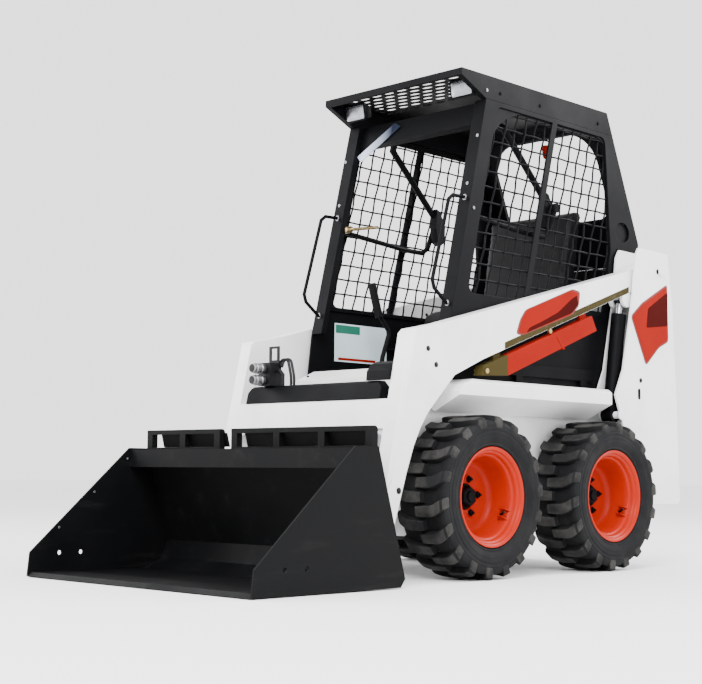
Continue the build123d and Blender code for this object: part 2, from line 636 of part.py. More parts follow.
def coupler():
    ty, tz = COUPLER_PIVOT
    face, back = COUPLER_FACE, COUPLER_FACE + 9
    plate = outline([(wall_y(430, face), 430), (wall_y(60, face), 60), (wall_y(60, back), 60),
            (wall_y(430, back), 430)])
    body = slab(plate, -COUPLER_HALF, COUPLER_HALF) - block(-200, 200, -800, -400, 120, 360)
    ear = outline([(wall_y(270, 4), 270), (wall_y(80, 4), 80), (ty - 10, tz - 32), (ty + 22, tz - 22),
            (ty + 30, tz),
                   (ty + 20, tz + 26), (ty - 20, tz + 80)])
    for x0 in (ARM_INNER - 26, ARM_OUTER + 6):
        for one in (slab(ear, x0, x0 + 20), slab(ear, -x0 - 20, -x0)):
            body += one
    for x in (ARM_INNER - 26, -ARM_OUTER - 26):
        body += rod_x(ty, tz, PIN_R, x, x + (ARM_OUTER - ARM_INNER) + 52)
    ey, ez = TILT_EYE
    tilt_ear = outline([(wall_y(380, 4), 380), (wall_y(110, 4), 110), (ty - 10, tz - 20), (ty + 20, tz + 10),
                        (ey + 22, ez + 6), (ey + 6, ez + 24)])
    for x0 in (-44, 26):
        body += slab(tilt_ear, x0, x0 + 18)
    body += slab(Pos(ty, tz) * RegularPolygon(21, 8), -ARM_INNER + 20, ARM_INNER - 20)
    return body


# ------------------------------------------------------------------ cylinders
def barrel(base, eye, x, radius, rod_radius, top, start):
    plane = side_axis(base, eye, x)
    body = plane * Pos(0, 0, 16) * Cylinder(radius, top - 16, align=(Align.CENTER, Align.CENTER, Align.MIN))
    body += rod_x(*base, radius, x - 24, x + 24)
    body -= plane * Pos(0, 0, start) * Cylinder(rod_radius + RUN_FIT, top, align=(Align.CENTER,
            Align.CENTER, Align.MIN))
    return body - rod_x(*base, PIN_R + RUN_FIT, x - 30, x + 30)


def piston_rod(base, eye, x, rod_radius, start, eye_radius):
    length, _ = toward(base, eye)
    plane = side_axis(base, eye, x)
    body = plane * Pos(0, 0, start) * Cylinder(rod_radius, length - start, align=(Align.CENTER,
            Align.CENTER, Align.MIN))
    half = rod_radius + 2
    return body + rod_x(*eye, eye_radius, x - half, x + half)


# --------------------------------------------------------------------- build
def seat_bar():
    """Raised: it swings down in front of the operator about its two eyes, each with an arm rest."""
    hy, hz = SEAT_BAR_HINGE
    path = [(285, hy - 10, hz + 10), (285, hy - 320, hz + 300)]
    path += [(-x, y, z) for x, y, z in reversed(path)]
    bar = tube(path, SEAT_BAR_R, 45)
    pad = outline([(hy - 40, hz + 62), (hy - 18, hz + 52), (hy + 12, hz - 10), (hy + 10, hz - 72),
            (hy - 12, hz - 88),
                   (hy - 34, hz - 76), (hy - 44, hz - 20)])
    for piece in both_sides(slab(pad, 262, 296)):
        bar += piece
    for hole in both_sides(rod_x(hy, hz, SEAT_PIN_R + RUN_FIT, 250, 310)):
        bar -= hole
    return bar


def seat_bar_rail():
    """Tube along the cab's side that carries the seat bar's hinge pin."""
    hy, hz = SEAT_BAR_HINGE
    path = [(post_y(1296, 29), 1296), (390, 1266), (510, 1266), (hy, hz)]
    rail = tube([(312, y, z) for y, z in path], RAIL_R, 24)
    rail += rod_x(hy, hz, 18, 303, 322) + rod_x(hy, hz, SEAT_PIN_R, 270, 322)
    return rail + slab(Pos(*RAIL_STAY) * RegularPolygon(9, 8), 312, CAB_HALF - CAB_PLATE)


def side_rail():
    """Flat dark rail over the fender, held by two feet."""
    rail = block(CAB_HALF + 1, CAB_HALF + 13, 130, 745, 719, 763)
    for y in (250, 650):
        rail += block(CAB_HALF + 1, CAB_HALF + 15, y, y + 40, FENDER_TOP + GAP, 720)
    return rail


keep("frame_tub", frame_tub())
keep("fender_rails", *both_sides(fender_rail()))
keep("side_rails", *both_sides(side_rail()))
keep("tower_left", *tower())
keep("door_hinges", *door_hinges())
keep("tower_right", *[mirror(piece, about=Plane.YZ) for piece in tower()])
keep("axle_housings", *[half for y in (FRONT_AXLE_Y,
        FRONT_AXLE_Y + WHEELBASE) for half in both_sides(axle_housing(y))])
keep("engine_block", engine())
keep("engine_cover", engine_cover())

for corner, y, flip in (("front_left", FRONT_AXLE_Y, False), ("rear_left", FRONT_AXLE_Y + WHEELBASE, False),
                        ("front_right", FRONT_AXLE_Y, True), ("rear_right", FRONT_AXLE_Y + WHEELBASE, True)):
    pieces = rim(y), tyre(y)
    if flip:
        pieces = [mirror(piece, about=Plane.YZ) for piece in pieces]
    keep("rim_" + corner, pieces[0])
    keep("tyre_" + corner, pieces[1])

keep("cab_side_left", cab_side())
keep("cab_side_right", mirror(cab_side(), about=Plane.YZ))
keep("side_screens", *[half for layer in side_screen() for half in both_sides(layer)])
keep("cab_roof", cab_roof())
keep("roof_screen", roof_screen())
keep("front_header", front_header())
keep("cab_rear_wall", cab_rear_wall())
keep("work_lamps", *lamps())
keep("grab_handles", *both_sides(handle()))
keep("seat_bar_rails", *both_sides(seat_bar_rail()))
keep("cab_floor", cab_floor())
keep("front_panel", front_panel())
keep("seat_pan", seat_pan(), seat_bracket())
keep("seat_cushion", seat_cushion())
keep("seat_back", seat_back())
keep("control_levers", *both_sides(control_lever()))
keep("seat_bar", seat_bar())
keep("rear_door", rear_door())

keep("arm_left", arm())
keep("arm_right", mirror(arm(), about=Plane.YZ))
keep("arm_crossmember", crossmember(), tilt_pin())
keep("step_bar", *step_bar())
keep("hydraulic_block", hydraulic_block())
keep("arm_strut", arm_strut())
keep("quick_coupler", coupler())
keep("bucket_shell", bucket_shell())
keep("cutting_edge", cutting_edge())

for side, x in (("left", LIFT_X), ("right", -LIFT_X)):
    keep("lift_barrel_" + side, barrel(LIFT_BASE, LIFT_EYE, x, LIFT_BARREL_R, LIFT_ROD_R, 405, 45))
    keep("lift_rod_" + side, piston_rod(LIFT_BASE, LIFT_EYE, x, LIFT_ROD_R, 55, 24))
keep("tilt_barrel", barrel(TILT_BASE, TILT_EYE, 0, TILT_BARREL_R, TILT_ROD_R, 320, 25))
keep("tilt_rod", piston_rod(TILT_BASE, TILT_EYE, 0, TILT_ROD_R, 80, 22))

os.makedirs("parts", exist_ok=True)
for name, shape in NODES.items():
    export_step(shape, f"parts/{name}.step")
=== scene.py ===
import json
from math import cos, pi, radians, sin, sqrt

import bmesh
import bpy
from mathutils import Matrix, Vector


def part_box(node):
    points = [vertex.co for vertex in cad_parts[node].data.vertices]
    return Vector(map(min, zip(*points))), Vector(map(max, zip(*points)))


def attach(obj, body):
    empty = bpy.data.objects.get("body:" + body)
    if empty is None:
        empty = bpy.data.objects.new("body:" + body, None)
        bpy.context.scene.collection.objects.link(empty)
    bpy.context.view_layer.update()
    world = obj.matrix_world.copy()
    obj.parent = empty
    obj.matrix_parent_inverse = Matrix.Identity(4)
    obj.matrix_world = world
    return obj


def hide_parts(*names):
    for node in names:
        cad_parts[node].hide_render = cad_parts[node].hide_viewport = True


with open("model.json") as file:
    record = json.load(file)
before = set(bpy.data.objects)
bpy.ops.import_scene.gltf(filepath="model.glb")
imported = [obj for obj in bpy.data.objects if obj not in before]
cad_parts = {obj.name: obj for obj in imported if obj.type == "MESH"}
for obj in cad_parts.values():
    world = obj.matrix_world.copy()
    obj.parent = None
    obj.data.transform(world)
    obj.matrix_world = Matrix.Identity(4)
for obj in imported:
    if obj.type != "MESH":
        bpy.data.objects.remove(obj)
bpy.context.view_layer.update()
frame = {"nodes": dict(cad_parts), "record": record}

NODES = frame["nodes"]
SIDES = (("left", 1), ("right", -1))
SHARP = radians(35)  # edges sharper than this are bevelled


# ------------------------------------------------------------------ materials
class Shader:
    """A Principled material, with short calls for the nodes that feed it."""

    def __init__(self, name, color, roughness, metallic=0.0, **constants):
        self.material = bpy.data.materials.new(name)
        self.material.use_nodes = True
        self.tree = self.material.node_tree
        self.bsdf = self.tree.nodes["Principled BSDF"]
        self.bsdf.inputs["Base Color"].default_value = (*color, 1)
        self.bsdf.inputs["Roughness"].default_value = roughness
        self.bsdf.inputs["Metallic"].default_value = metallic
        for socket, value in constants.items():
            self.bsdf.inputs[socket.replace("_", " ")].default_value = value
        self.place = self.node("ShaderNodeTexCoord").outputs["Object"]

    def node(self, kind, **values):
        made = self.tree.nodes.new(kind)
        for name, value in values.items():
            setattr(made, name, value)
        return made

    def link(self, source, target):
        self.tree.links.new(source, target)

    def noise(self, scale, detail=4.0, roughness=0.55, stretch=(1, 1, 1)):
        mapping = self.node("ShaderNodeMapping")
        mapping.inputs["Scale"].default_value = stretch
        self.link(self.place, mapping.inputs["Vector"])
        made = self.node("ShaderNodeTexNoise")
        made.inputs["Scale"].default_value = scale
        made.inputs["Detail"].default_value = detail
        made.inputs["Roughness"].default_value = roughness
        self.link(mapping.outputs["Vector"], made.inputs["Vector"])
        return made.outputs["Fac"]

    def ramp(self, source, low, high, first=0.0, last=1.0):
        """source from low to high, as a value from first to last."""
        made = self.node("ShaderNodeMapRange")
        made.inputs["From Min"].default_value = low
        made.inputs["From Max"].default_value = high
        made.inputs["To Min"].default_value = first
        made.inputs["To Max"].default_value = last
        self.link(source, made.inputs["Value"])
        return made.outputs["Result"]

    def mix(self, factor, first, second):
        made = self.node("ShaderNodeMix", data_type="RGBA")
        self.link(factor, made.inputs["Factor"])
        for socket, value in ((made.inputs[6], first), (made.inputs[7], second)):
            if isinstance(value, tuple):
                socket.default_value = (*value, 1)
            else:
                self.link(value, socket)
        return made.outputs[2]

    def color(self, source):
        self.link(source, self.bsdf.inputs["Base Color"])

    def rough(self, source):
        self.link(source, self.bsdf.inputs["Roughness"])

    def bump(self, source, strength, distance):
        made = self.node("ShaderNodeBump")
        made.inputs["Strength"].default_value = strength
        made.inputs["Distance"].default_value = distance
        self.link(source, made.inputs["Height"])
        self.link(made.outputs["Normal"], self.bsdf.inputs["Normal"])


def times(color, factor):
    return tuple(factor * channel for channel in color)


def paint(name, color, roughness, dust, dust_color=(0.42, 0.39, 0.34), gloss=0.5):
    """Sprayed paint: orange peel, uneven gloss and a little dust in patches."""
    coat = 0.25 if gloss > 0.4 else 0.0
    shader = Shader(name, color, roughness, Specular_IOR_Level=gloss, Coat_Weight=coat, Coat_Roughness=0.18)
    patches = shader.noise(5.0, detail=7, roughness=0.6)
    shade = shader.mix(shader.ramp(patches, 0.35, 0.7), color, times(color, 0.86))
    specks = shader.ramp(shader.noise(38.0, detail=6), 0.56, 0.8, 0.0, dust)
    shader.color(shader.mix(specks, shade, dust_color))
    shader.rough(shader.ramp(patches, 0.3, 0.75, roughness - 0.06, roughness + 0.14))
    shader.bump(shader.noise(620.0, detail=2), 0.10, 0.0006)
    return shader.material


def worn_paint(name, color, metal, roughness, amount):
    """Paint scraped to bare metal in streaks along the way the load slides."""
    shader = Shader(name, color, roughness, Specular_IOR_Level=0.07)
    streaks = shader.noise(16.0, detail=9, roughness=0.7, stretch=(1.0, 0.14, 1.0))
    blotches = shader.noise(3.2, detail=5)
    scraped = shader.ramp(streaks, 0.60 - 0.1 * amount, 0.78, 0.0, amount)
    shade = shader.mix(shader.ramp(blotches, 0.35, 0.7), color, times(color, 1.5))
    shader.color(shader.mix(scraped, shade, metal))
    shader.rough(shader.ramp(blotches, 0.3, 0.7, roughness - 0.08, roughness + 0.12))
    shader.bump(shader.noise(240.0, detail=5), 0.18, 0.0010)
    return shader.material


def rubber(name, color, roughness, dust):
    """Fine-grained rubber under a pale film of dust."""
    shader = Shader(name, color, roughness, Specular_IOR_Level=0.08)
    film = shader.ramp(shader.noise(9.0, detail=8, roughness=0.65), 0.42, 0.74, 0.0, dust)
    shader.color(shader.mix(film, color, (0.062, 0.060, 0.056)))
    shader.rough(shader.ramp(shader.noise(22.0), 0.3, 0.7, roughness - 0.08, roughness + 0.08))
    shader.bump(shader.noise(420.0, detail=4), 0.22, 0.0012)
    return shader.material


def metal(name, color, roughness, brushed=(1, 1, 1), scale=160.0, bump=0.08):
    """Bare metal with a grain, drawn out along an axis where it is brushed."""
    shader = Shader(name, color, roughness, metallic=1.0)
    grain = shader.noise(scale, detail=5, stretch=brushed)
    shader.color(shader.mix(shader.ramp(grain, 0.3, 0.75), color, times(color, 0.72)))
    shader.rough(shader.ramp(grain, 0.3, 0.7, roughness, roughness + 0.16))
    shader.bump(grain, bump, 0.0005)
    return shader.material


def vinyl(name, color):
    """Grained seat cover."""
    shader = Shader(name, color, 0.46, Specular_IOR_Level=0.12)
    cells = shader.node("ShaderNodeTexVoronoi", feature="F1")
    cells.inputs["Scale"].default_value = 520.0
    shader.link(shader.place, cells.inputs["Vector"])
    shade = shader.ramp(shader.noise(7.0, detail=4), 0.35, 0.7)
    shader.color(shader.mix(shade, color, times(color, 1.7)))
    shader.rough(shader.ramp(cells.outputs["Distance"], 0.0, 0.9, 0.40, 0.58))
    shader.bump(cells.outputs["Distance"], 0.25, 0.0010)
    return shader.material


MATERIALS = {
    "white_paint": paint("white_paint", (0.86, 0.865, 0.865), 0.34, 0.04),
    "black_paint": paint("black_paint", (0.0026, 0.0028, 0.0035), 0.48, 0.04, (0.02, 0.02, 0.02), 0.055),
    "orange_paint": paint("orange_paint", (0.23, 0.0050, 0.0008), 0.46, 0.01, (0.08, 0.02, 0.01), 0.04),
    "rim_paint": paint("rim_paint", (0.34, 0.0115, 0.0016), 0.34, 0.015, (0.10, 0.03, 0.02), 0.11),
    "bucket_paint": worn_paint("bucket_paint", (0.0022, 0.0024, 0.0026), (0.016,) * 3, 0.52, 0.5),
    "dark_steel": metal("dark_steel", (0.030, 0.030, 0.032), 0.42, scale=90.0, bump=0.2),
    "cast_metal": metal("cast_metal", (0.028, 0.028, 0.029), 0.55, scale=70.0, bump=0.35),
    "chrome": metal("chrome", (0.40, 0.41, 0.43), 0.14, brushed=(1, 1, 0.1), scale=300.0, bump=0.02),
    "lamp": metal("lamp", (0.012, 0.012, 0.013), 0.45),
    "seat_vinyl": vinyl("seat_vinyl", (0.0042, 0.0042, 0.0048)),
    "grip_rubber": rubber("grip_rubber", (0.004, 0.004, 0.0045), 0.62, 0.06),
    "tyre": rubber("tyre", (0.0068, 0.0071, 0.0078), 0.72, 0.10),
}
LENS = metal("lens", (0.34, 0.35, 0.38), 0.25, scale=45.0, bump=0.8)
ZINC = metal("zinc", (0.30, 0.30, 0.31), 0.36, scale=200.0)
BRASS = metal("brass", (0.50, 0.36, 0.17), 0.30, scale=200.0)
# OLIVE is also painted shade, with some dirt, in the band along the lift arms' lower edges
OLIVE = paint("olive", (0.040, 0.030, 0.008), 0.55, 0.08, gloss=0.05)
DARK_RED = paint("dark_red", (0.045, 0.0022, 0.0014), 0.50, 0.01, (0.05, 0.01, 0.01), gloss=0.02)
DEEP_RED = paint("deep_red", (0.15, 0.007, 0.004), 0.40, 0.02, gloss=0.3)
PALE = paint("pale", (0.62, 0.74, 0.78), 0.40, 0.02, gloss=0.3)
GREEN = paint("green", (0.016, 0.15, 0.10), 0.40, 0.02, gloss=0.3)
LUG = rubber("lug", (0.0110, 0.0112, 0.0114), 0.66, 0.80)


def principled(material):
    return next(node for node in material.node_tree.nodes if node.type == "BSDF_PRINCIPLED")


def split_by_place(below, above, axis, limit, softness=0.0004):
    """The paint above, with the plain colour of the one below on the low side of a plane."""
    made = above.copy()
    made.name = above.name + "_" + below.name
    tree = made.node_tree
    color = principled(made).inputs["Base Color"]
    parts = tree.nodes.new("ShaderNodeSeparateXYZ")
    tree.links.new(tree.nodes.new("ShaderNodeTexCoord").outputs["Object"], parts.inputs[0])
    low_side = tree.nodes.new("ShaderNodeMapRange")
    low_side.inputs["From Min"].default_value = limit + softness
    low_side.inputs["From Max"].default_value = limit - softness
    tree.links.new(parts.outputs[axis], low_side.inputs["Value"])
    mix = tree.nodes.new("ShaderNodeMix")
    mix.data_type = "RGBA"
    tree.links.new(low_side.outputs["Result"], mix.inputs["Factor"])
    tree.links.new(color.links[0].from_socket, mix.inputs[6])
    mix.inputs[7].default_value = principled(below).inputs["Base Color"].default_value
    tree.links.new(mix.outputs[2], color)
    return made


for subpart in frame["record"]["subparts"]:
    mesh = NODES[subpart["node"]].data
    mesh.materials.clear()
    mesh.materials.append(MATERIALS[subpart["material_slot"]])


def soften(name, width):
    """Rounds the edges of a CAD node a little, so that they catch the light."""
    weld = NODES[name].modifiers.new("weld", "WELD")
    weld.merge_threshold = 0.00002
    bevel = NODES[name].modifiers.new("bevel", "BEVEL")
    bevel.width = width
    bevel.segments = 2
    bevel.limit_method = "ANGLE"
    bevel.angle_limit = SHARP
    bevel.harden_normals = True


SOFT_EDGES = {
    3: ("arm_left", "arm_right", "seat_bar", "control_levers"),
    2.5: ("arm_crossmember", "grab_handles", "seat_bar_rails"),
    2: ("fender_rails", "step_bar", "engine_cover", "arm_strut"),
    1.6: ("tower_left", "tower_right", "cab_roof"),
    1.5: ("cab_side_left", "cab_side_right", "rear_door", "cutting_edge", "frame_tub", "side_rails"),
    1.2: ("front_panel",),
    1: ("hydraulic_block",),
}
for width, names in SOFT_EDGES.items():
    for name in names:
        soften(name, width / 1000)


# --------------------------------------------------------------------- shapes
class Mesh:
    """Collects shapes, in millimetres of the row frame, into one piece."""

    def __init__(self):
        self.points = []
        self.faces = []

    def add(self, points, faces):
        start = len(self.points)
        self.points += [tuple(point) for point in points]
        self.faces += [tuple(start + corner for corner in face) for face in faces]

    def strips(self, rings, closed=True, caps=(True, True)):
        """Skins rings of equally many points. The caps close the first and the last."""
        count = len(rings[0])
        points = [point for ring in rings for point in ring]
        faces = []
        for row in range(len(rings) - 1):
            for corner in range(count if closed else count - 1):
                following = (corner + 1) % count
                faces.append((row * count + corner, row * count + following,
                              (row + 1) * count + following, (row + 1) * count + corner))
        if caps[0]:
            faces.append(tuple(reversed(range(count))))
        if caps[1]:
            faces.append(tuple(range((len(rings) - 1) * count, len(rings) * count)))
        self.add(points, faces)

    def prism(self, outline, x0, x1):
        """A (y, z) outline from x0 to x1."""
        self.strips([[(x, y, z) for y, z in outline] for x in (x0, x1)])

    def block(self, x0, x1, y0, y1, z0, z1):
        self.prism([(y0, z0), (y1, z0), (y1, z1), (y0, z1)], x0, x1)

    def rod(self, start, end, radius, sides=16, end_radius=None):
        start, end = Vector(start), Vector(end)
        across, up = frame_of(end - start)
        last = radius if end_radius is None else end_radius
        self.strips([around(start, across, up, radius, sides), around(end, across, up, last, sides)])

    def tube(self, path, radius, sides=12):
        """A round bar along a dense path, carried round without twist."""
        path = [Vector(point) for point in path]
        across, up = frame_of(path[1] - path[0])
        rings = []
        for index, point in enumerate(path):
            ahead = path[min(index + 1, len(path) - 1)] - path[max(index - 1, 0)]
            ahead.normalize()
            across = (across - across.dot(ahead) * ahead).normalized()
            up = ahead.cross(across)
            rings.append(around(point, across, up, radius, sides))
        self.strips(rings)

    def bolt(self, point, axis, radius=9.0, height=6.0, washer=True):
        """Hexagon head with a chamfered crown, on a washer."""
        point, axis = Vector(point), Vector(axis).normalized()
        if washer:
            self.rod(point, point + axis * 1.6, radius * 1.35, 18)
        across, up = frame_of(axis)
        self.strips([around(point + axis * level, across, up, r, 6)
                     for level, r in ((1.2, radius), (height - 1.2, radius), (height, radius * 0.84))])

    def ring_x(self, profile, centre, segments=96):
        """Turns a closed (x, radius) profile about an axis along X through centre = (y, z)."""
        points = []
        for step in range(segments):
            turn = 2 * pi * step / segments
            points += [(x, centre[0] + r * sin(turn), centre[1] - r * cos(turn)) for x, r in profile]
        count = len(profile)
        faces = []
        for step in range(segments):
            here, ahead = step * count, (step + 1) % segments * count
            for corner in range(count):
                following = (corner + 1) % count
                faces.append((here + corner, ahead + corner, ahead + following, here + following))
        self.add(points, faces)

    def mirrored(self):
        """The same shapes on both sides of the machine."""
        count = len(self.points)
        self.points += [(-x, y, z) for x, y, z in self.points]
        self.faces += [tuple(count + corner for corner in reversed(face)) for face in self.faces]
        return self

    def piece(self, name, body, slot, material=None, smooth=35.0, bevel=0.0):
        """Makes the object, on its body, with the material of its slot unless one is given. smooth is an
        angle, and 0 keeps it flat.
        """
        mesh = bpy.data.meshes.new(name)
        mesh.from_pydata([(x / 1000, y / 1000, z / 1000) for x, y, z in self.points], [], self.faces)
        work = bmesh.new()
        work.from_mesh(mesh)
        bmesh.ops.recalc_face_normals(work, faces=work.faces)
        work.to_mesh(mesh)
        work.free()
        made = bpy.data.objects.new(name, mesh)
        bpy.context.scene.collection.objects.link(made)
        mesh.materials.append(material or MATERIALS[slot])
        if bevel:
            edge = made.modifiers.new("bevel", "BEVEL")
            edge.width = bevel / 1000
            edge.segments = 2
            edge.limit_method = "ANGLE"
            edge.angle_limit = SHARP
        if smooth:
            mesh.shade_smooth()
            mesh.set_sharp_from_angle(angle=radians(smooth))
        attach(made, body)
        return made


def frame_of(direction):
    """Two directions square to the given one."""
    direction = direction.normalized()
    spare = Vector((0, 0, 1)) if abs(direction.z) < 0.9 else Vector((0, 1, 0))
    across = direction.cross(spare).normalized()
    return across, direction.cross(across)


def circle(sides):
    """The cosine and the sine of equal steps round a circle."""
    return [(cos(2 * pi * k / sides), sin(2 * pi * k / sides)) for k in range(sides)]


def around(centre, across, up, radius, sides):
    """A circle, or a regular outline, in the plane of two directions."""
    return [centre + radius * (c * across + s * up) for c, s in circle(sides)]


def corner_points(before, corner, after, radius, most, steps):
    """A rounded corner, which takes up at most a share of each side beside it."""
    reach = min(radius, most * (before - corner).length, most * (after - corner).length)
    start = corner + (before - corner).normalized() * reach
    end = corner + (after - corner).normalized() * reach
    shares = [step / steps for step in range(steps + 1)]
    return [(1 - t) ** 2 * start + 2 * t * (1 - t) * corner + t ** 2 * end for t in shares]


def bent(points, radius):
    """A path with its corners rounded."""
    points = [Vector(point) for point in points]
    path = [points[0]]
    for before, corner, after in zip(points, points[1:], points[2:]):
        path += corner_points(before, corner, after, radius, 0.48, 6)
    return path + [points[-1]]


def rounded(points, radius):
    """A closed flat outline with rounded corners."""
    points = [Vector(point) for point in points]
    ring = []
    for index, corner in enumerate(points):
        after = points[(index + 1) % len(points)]
        ring += [tuple(point) for point in corner_points(points[index - 1], corner, after, radius, 0.45, 5)]
    return ring


def inset(outline, centre, share):
    """The outline drawn in towards a centre."""
    return [(centre[0] + (y - centre[0]) * share, centre[1] + (z - centre[1]) * share) for y, z in outline]


def box_mm(node):
    low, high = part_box(node)
    return [1000 * value for value in low], [1000 * value for value in high]


def node_centre(name):
    low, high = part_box(name)
    return [500 * (a + b) for a, b in zip(low, high)]


# --------------------------------------------------------------------- wheels
LUG_PITCH = 20  # degrees
TREAD_RADIUS = 280
# distance from the middle and radius at the lug's foot, the same at its top, lead, width
LUG_SECTIONS = [(-15, 256, -12, 279.6, 0, 34), (18, 256, 18, 280, 0, 37), (48, 257, 48, 280, 1, 38),
                (66, 259, 67, 279.6, 6, 39), (80, 260, 82, 278.6, 14, 40), (91, 260, 94, 276.4, 21, 39),
                (98, 258, 101.5, 271, 26, 37), (102, 251, 104.8, 262, 29, 34),
                (103.6, 241, 105.2, 247, 31, 30)]
# share of the way from foot to top, and place across the lug as a half width and an offset
LUG_OUTLINE = [(0, -1, -3.5), (0.92, -1, 0), (1, -1, 2.4), (1, 0, 0), (1, 1, -2.4), (0.92, 1, 0), (0, 1, 3.5)]
FOOT_DEPTH = 3  # a lug's foot is sunk into the casing
WORN_RADIUS, WORN_REACH = 276.6, 100  # the lug's faces beyond these are dusty
# distance from the middle and radius
CARCASS = [(74, 160), (84, 163), (88, 170), (91, 174), (97, 176), (98.5, 180), (97.5, 184), (100, 190),
           (103, 198), (105.2, 206), (104.4, 208), (105.6, 211), (105.0, 222), (103.4, 224), (104.2, 227),
           (104.4, 236), (102.8, 238), (103.4, 241), (102, 250), (97.5, 258), (90, 261.5), (78, 261),
           (60, 258), (40, 256.5), (0, 257)]


def lug(x, y, z, toward, turn):
    """The sections of one lug, from the tyre's middle over its shoulder."""
    rings = []
    for foot_a, foot_r, top_a, top_r, lead, width in LUG_SECTIONS:
        foot_r -= FOOT_DEPTH
        ring = []
        for share, half, offset in LUG_OUTLINE:
            r = foot_r + (top_r - foot_r) * share
            a = foot_a + (top_a - foot_a) * share
            angle = turn + (lead + half * 0.5 * width + offset) / TREAD_RADIUS
            ring.append((x + toward * a, y - r * sin(angle), z - r * cos(angle)))
        rings.append(ring)
    return rings


def tyre(name, side):
    """Smooth casing and two rows of bent lugs that hook over the shoulders."""
    x, y, z = node_centre(name)
    body = "wheel_" + name[5:]
    casing = Mesh()
    profile = [(x + side * a, r) for a, r in CARCASS] + [(x - side * a, r) for a, r in reversed(CARCASS[:-1])]
    casing.ring_x(profile, (y, z), segments=108)
    made = casing.piece(name + "_casing", body, "tyre", smooth=28)
    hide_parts(name)
    lugs = Mesh()
    for row, shift in ((1, 0), (-1, 0.5)):
        for index in range(360 // LUG_PITCH):
            lugs.strips(lug(x, y, z, side * row, radians((index + shift) * LUG_PITCH)))
    made = lugs.piece(name + "_lugs", body, "tyre", smooth=30)
    made.data.materials.append(LUG)
    for face in made.data.polygons:
        middle = face.center * 1000
        if sqrt((middle.y - y) ** 2 + (middle.z - z) ** 2) > WORN_RADIUS or abs(middle.x - x) > WORN_REACH:
            face.material_index = 1


# distance from the wheel's middle, outwards, and radius
RIM_PROFILE = [(95, 168), (95.5, 170.4), (93.6, 171.2), (90.5, 170.5), (89, 167), (88, 160), (84, 158),
               (-84, 158), (-88, 160), (-89, 168), (-91, 171), (-95, 171), (-95, 160), (-92, 152), (-84, 150),
               (-30, 150), (-42, 140), (-41, 60), (-41, 46), (-29, 46), (-29, 106), (-27, 117), (-20, 125),
               (-8, 130), (40, 135.5), (60, 138), (64, 140.5), (67, 145.5), (72, 147.5), (78, 148.5),
               (82, 152), (84.5, 156.5), (89, 158), (92, 161)]
BOSS_PROFILE = [(-30, 3), (-30, 19), (-25.5, 15), (-24.5, 14), (-24.5, 3)]
HUB_FLANGE = [(-42, 1), (-42, 44), (-27, 44), (-25.5, 42), (-25.5, 36), (-25.5, 1)]
HUB_CAP = [(-5, 1), (-5, 21), (3, 19), (5, 15), (5, 1)]
HUB_BODY = [(-27, 37), (-8, 37), (-3, 31)]  # six-sided
GUARD_PROFILE = [(30, 135), (34, 114), (60, 114), (66, 141)]
GUARD_FACES = [(0, 2, 4, 6), (7, 5, 3, 1), (0, 1, 3, 2), (2, 3, 5, 4), (4, 5, 7, 6), (6, 7, 1, 0)]
BOLTS = 5
BOLT_CIRCLE = 61
BOLT_TURN = 13  # degrees
VALVE_TURN = radians(-62)


def rim(name, side):
    """Pressed wheel with a rolled lip, a ledge, a deep dish, bosses and a valve."""
    x, y, z = node_centre(name)
    body = "wheel_" + name[4:]

    def outwards(profile):
        return [(x + side * a, r) for a, r in profile]

    def at(a, r, turn):
        return x + side * a, y - r * sin(turn), z - r * cos(turn)

    spots = []
    for index in range(BOLTS):
        turn = radians(BOLT_TURN + 360 * index / BOLTS)
        spots.append((y + BOLT_CIRCLE * sin(turn), z + BOLT_CIRCLE * cos(turn)))
    turned = Mesh()
    turned.ring_x(outwards(RIM_PROFILE), (y, z))
    for spot in spots:
        turned.ring_x(outwards(BOSS_PROFILE), spot, segments=24)
    made = turned.piece(name + "_pressing", body, "rim_paint", smooth=32)
    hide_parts(name)
    hub = Mesh()
    hub.ring_x(outwards(HUB_FLANGE), (y, z), segments=40)
    hub.strips([[(level, y + r * s, z + r * c) for c, s in circle(6)] for level, r in outwards(HUB_BODY)])
    hub.ring_x(outwards(HUB_CAP), (y, z), segments=28)
    for spot in spots:
        foot = (x - side * 25, *spot)
        hub.bolt(foot, (side, 0, 0), 9.5, 10)
        hub.rod(foot, (foot[0] + side * 17, *spot), 4.5, 12)
    hub.piece(name + "_hub", body, "black_paint", smooth=32)
    valve = Mesh()
    tip = at(58, 116, VALVE_TURN)
    valve.rod(at(36, 131, VALVE_TURN), tip, 5.5, 14, 4)
    valve.rod(tip, (tip[0] + side * 9, tip[1] + 5 * sin(VALVE_TURN), tip[2] + 5 * cos(VALVE_TURN)), 3.4, 12)
    valve.piece(name + "_valve", body, "dark_steel")
    guard = Mesh()
    for shift in (-7, 7):
        angle = VALVE_TURN + radians(shift)
        points = [at(a, r, angle + edge) for a, r in GUARD_PROFILE for edge in (-0.012, 0.012)]
        guard.add(points, GUARD_FACES)
    guard.piece(name + "_guard", body, "rim_paint", smooth=0, bevel=1.2)


for end in ("front", "rear"):
    for side_name, side in SIDES:
        tyre(f"tyre_{end}_{side_name}", side)
        rim(f"rim_{end}_{side_name}", side)


# ----------------------------------------------------------------- side screens
SCREEN_LOW, SCREEN_HIGH = 985, 1712
SCREEN_X = 338.2
WIRE_PITCH = 58
WIRE_LEAN = 0.27
WIRE_RADIUS, WIRE_WAVE, WIRE_STEP = 3.4, 2.6, 14.5
FIRST_ROW, FIRST_COLUMN = SCREEN_LOW + 12, 44


def post_y(z, offset=0.0):
    """The front edge of the cab's side at a height."""
    return -107 + (z - 886) * (97 + 107) / (1732 - 886) + offset


def rear_y(z, offset=0.0):
    """The rear wall's outer face at a height."""
    return 1079 - (z - 1305) * (1079 - 862) / (1814 - 1305) + offset


